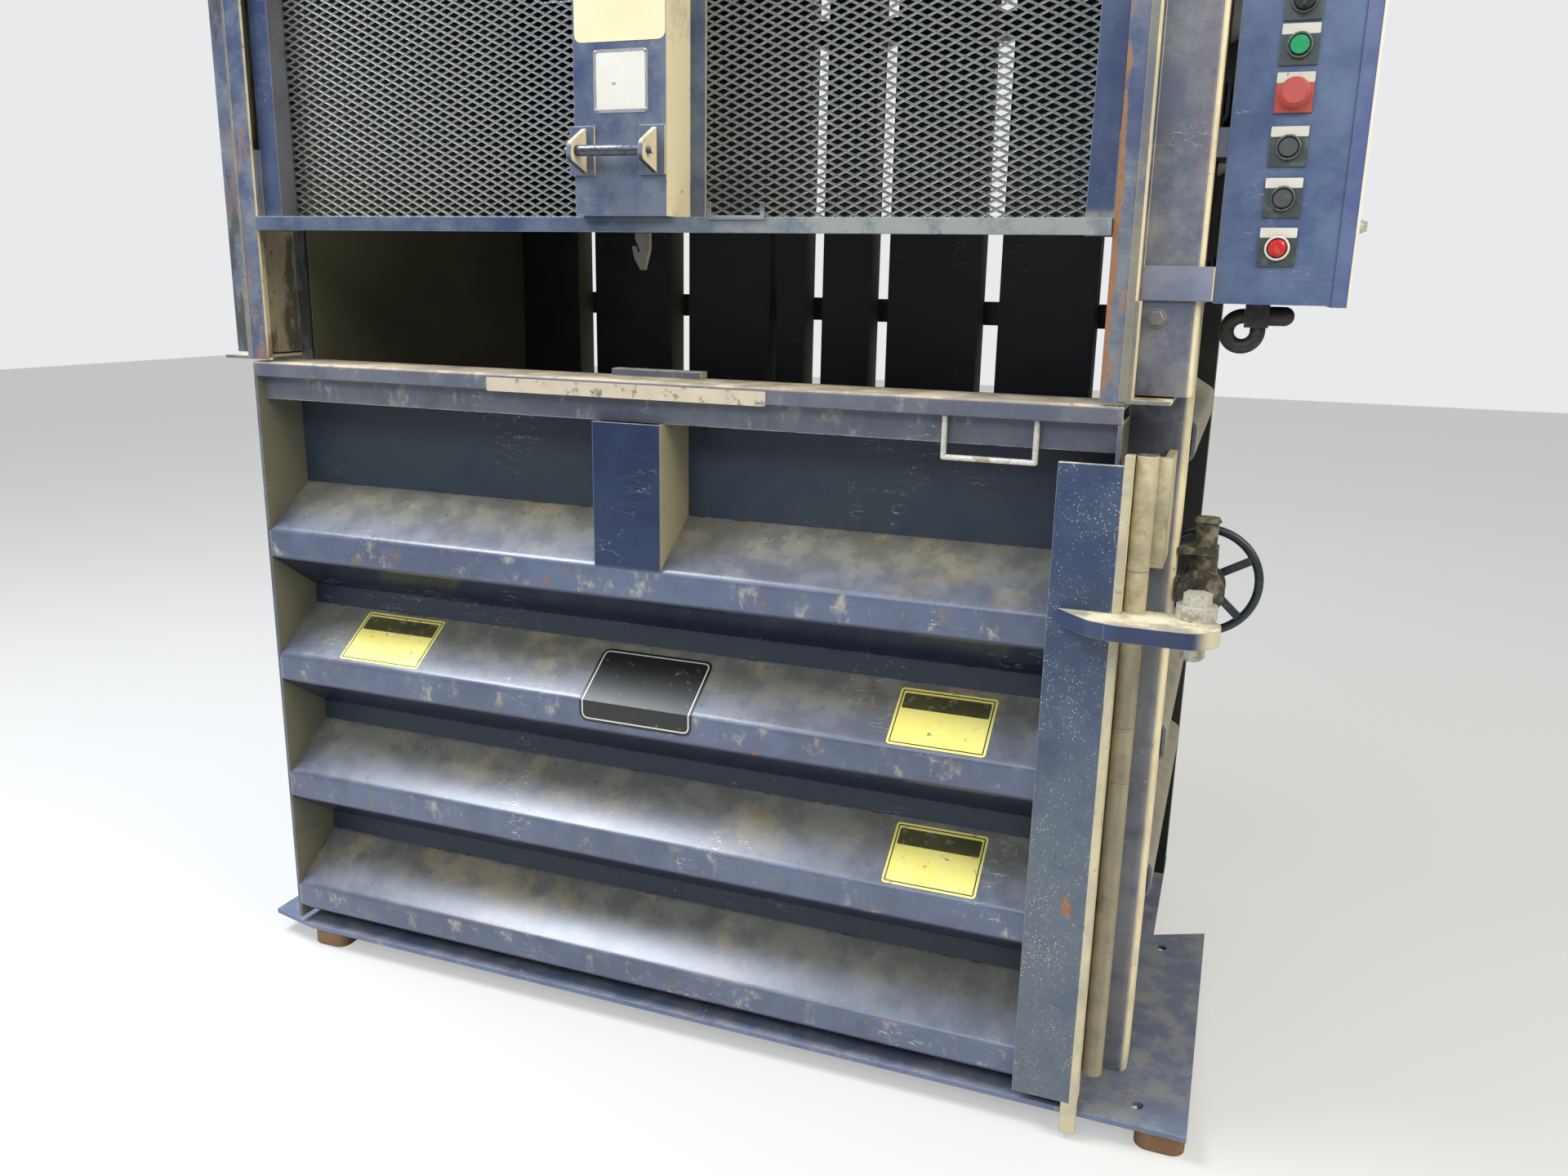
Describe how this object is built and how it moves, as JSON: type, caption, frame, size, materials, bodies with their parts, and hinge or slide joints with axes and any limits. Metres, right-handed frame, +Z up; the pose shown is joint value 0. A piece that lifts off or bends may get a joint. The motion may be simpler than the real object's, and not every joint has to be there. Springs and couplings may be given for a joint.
{
  "type": "recycling baler",
  "caption": "Upright hydraulic baler for waste cardboard: ribbed swing door with a screw-clamped latch bar, sliding mesh gate and a downstroke press over an open-slatted chamber.",
  "frame": {"origin": "middle of the whole machine at floor level", "axes": "+Z up, -Y the front with the door and gate, +X the side with the handwheel and controls"},
  "size_m": [1.9944, 1.126, 3.86],
  "materials": {
    "navy_enamel": "worn navy enamel, dusty and scratched",
    "dusty_enamel": "enamel under cream dust",
    "chamber_steel": "dark oily steel",
    "rusty_pads": "rusted steel",
    "bare_steel": "machined steel",
    "cast_iron": "blackened casting",
    "dusty_iron": "dusty casting",
    "mesh_steel": "dark painted mesh",
    "white_label": "blank label",
    "box_enamel": "blue enamel",
    "cover_enamel": "cream enamel",
    "grey_plate": "dark button plates",
    "black_plastic": "black plastic",
    "green_plastic": "green button",
    "red_plastic": "red button",
    "motor_grey": "grey motor enamel",
    "zinc_steel": "zinc plated, dusty"
  },
  "bodies": {
    "machine": {"base_plate": "navy_enamel", "foot_pads": "rusty_pads", "left_post": "navy_enamel", "right_post": "navy_enamel", "rear_posts": "chamber_steel", "side_walls": "chamber_steel", "wall_ribs": "navy_enamel", "back_slats": "chamber_steel", "chamber_floor": "chamber_steel", "gate_tracks": "navy_enamel", "track_brackets": "dusty_enamel", "feed_header": "navy_enamel", "crosshead": "navy_enamel", "cylinder_barrel": "navy_enamel", "cylinder_gland": "bare_steel", "oil_tank": "navy_enamel", "electric_motor": "motor_grey", "pump": "cast_iron", "valve_block": "cast_iron", "hydraulic_lines": "cast_iron", "hinge_pins": "bare_steel", "frame_knuckles": "dusty_enamel", "screw_barrel": "dusty_iron", "control_box": "box_enamel", "box_strap": "dusty_enamel", "button_plates": "grey_plate", "pilot_lamp": "red_plastic", "conduit_fittings": "black_plastic", "conduit": "black_plastic"},
    "bale_door": {"door_sheet": "navy_enamel", "door_end_plates": "dusty_enamel", "door_ribs": "navy_enamel", "door_rail": "navy_enamel", "door_stiffener": "dusty_enamel", "strike_plate": "navy_enamel", "pull_handle": "zinc_steel", "door_knuckles": "navy_enamel"},
    "latch_bar": {"latch_plate": "navy_enamel", "latch_flange": "dusty_enamel", "latch_knuckles": "dusty_enamel", "lever_arm": "dusty_enamel", "pivot_bolt": "zinc_steel"},
    "screw": {"clamp_screw": "cast_iron"},
    "wheel": {"handwheel": "cast_iron"},
    "gate": {"gate_frame": "navy_enamel", "gate_mesh": "mesh_steel", "gate_post": "navy_enamel", "gate_handle": "dusty_enamel", "gate_plates": "white_label", "gate_clip": "navy_enamel"},
    "hook": {"gate_hook": "dusty_enamel"},
    "press_ram": {"platen": "navy_enamel", "piston_rod": "bare_steel"},
    "cover": {"control_cover": "cover_enamel"},
    "knob": {"cover_knob": "zinc_steel"},
    "key": {"key_selector": "black_plastic"},
    "start": {"start_button": "green_plastic"},
    "stop": {"stop_button": "red_plastic"},
    "up": {"up_button": "black_plastic"},
    "down": {"down_button": "black_plastic"}
  },
  "joints": [
    {"name": "door_hinge", "type": "hinge", "parent": "machine", "child": "bale_door", "pos_m": [-0.92315, -0.399, 0.6], "axis": [0, 0, -1], "range_deg": [0, 115]},
    {"name": "handwheel_turn", "type": "hinge", "parent": "screw", "child": "wheel", "pos_m": [0.82685, -0.266, 0.926], "axis": [0, 1, 0], "range_deg": [0, 3150]},
    {"name": "latch_hinge", "type": "hinge", "parent": "machine", "child": "latch_bar", "pos_m": [0.73735, -0.463, 0.6], "axis": [0, 0, 1], "range_deg": [0, 70.5]},
    {"name": "screw_feed", "type": "slide", "parent": "machine", "child": "screw", "axis": [0, 1, 0], "range_m": [0, 0.113]},
    {"name": "gate_slide", "type": "slide", "parent": "machine", "child": "gate", "axis": [0, 0, 1], "range_m": [-0.22, 0.36]},
    {"name": "gate_hook_pivot", "type": "hinge", "parent": "gate", "child": "hook", "pos_m": [-0.14315, -0.353, 1.468], "axis": [0, 1, 0], "range_deg": [-35, 35]},
    {"name": "press_stroke", "type": "slide", "parent": "machine", "child": "press_ram", "axis": [0, 0, -1], "range_m": [0, 1.19]},
    {"name": "cover_hinge", "type": "hinge", "parent": "machine", "child": "cover", "pos_m": [0.96115, 0.116, 1.669], "axis": [0, 0, 1], "range_deg": [0, 115]},
    {"name": "cover_knob_turn", "type": "hinge", "parent": "cover", "child": "knob", "pos_m": [0.98545, -0.351, 1.479], "axis": [1, 0, 0], "range_deg": [0, 90]},
    {"name": "key_turn", "type": "hinge", "parent": "machine", "child": "key", "pos_m": [0.88135, -0.393, 1.771], "axis": [0, 1, 0], "range_deg": [-45, 45]},
    {"name": "start_press", "type": "slide", "parent": "machine", "child": "start", "axis": [0, 1, 0], "range_m": [0, 0.004], "stiffness_N_per_m": 1200},
    {"name": "stop_press", "type": "slide", "parent": "machine", "child": "stop", "axis": [0, 1, 0], "range_m": [0, 0.005], "stiffness_N_per_m": 1200},
    {"name": "up_press", "type": "slide", "parent": "machine", "child": "up", "axis": [0, 1, 0], "range_m": [0, 0.004], "stiffness_N_per_m": 1200},
    {"name": "down_press", "type": "slide", "parent": "machine", "child": "down", "axis": [0, 1, 0], "range_m": [0, 0.004], "stiffness_N_per_m": 1200}
  ],
  "couplings": [
    {"joint": "latch_hinge", "follows": "handwheel_turn", "ratio": 0.022222},
    {"joint": "screw_feed", "follows": "handwheel_turn", "m_per_rad": 0.0020372}
  ]
}
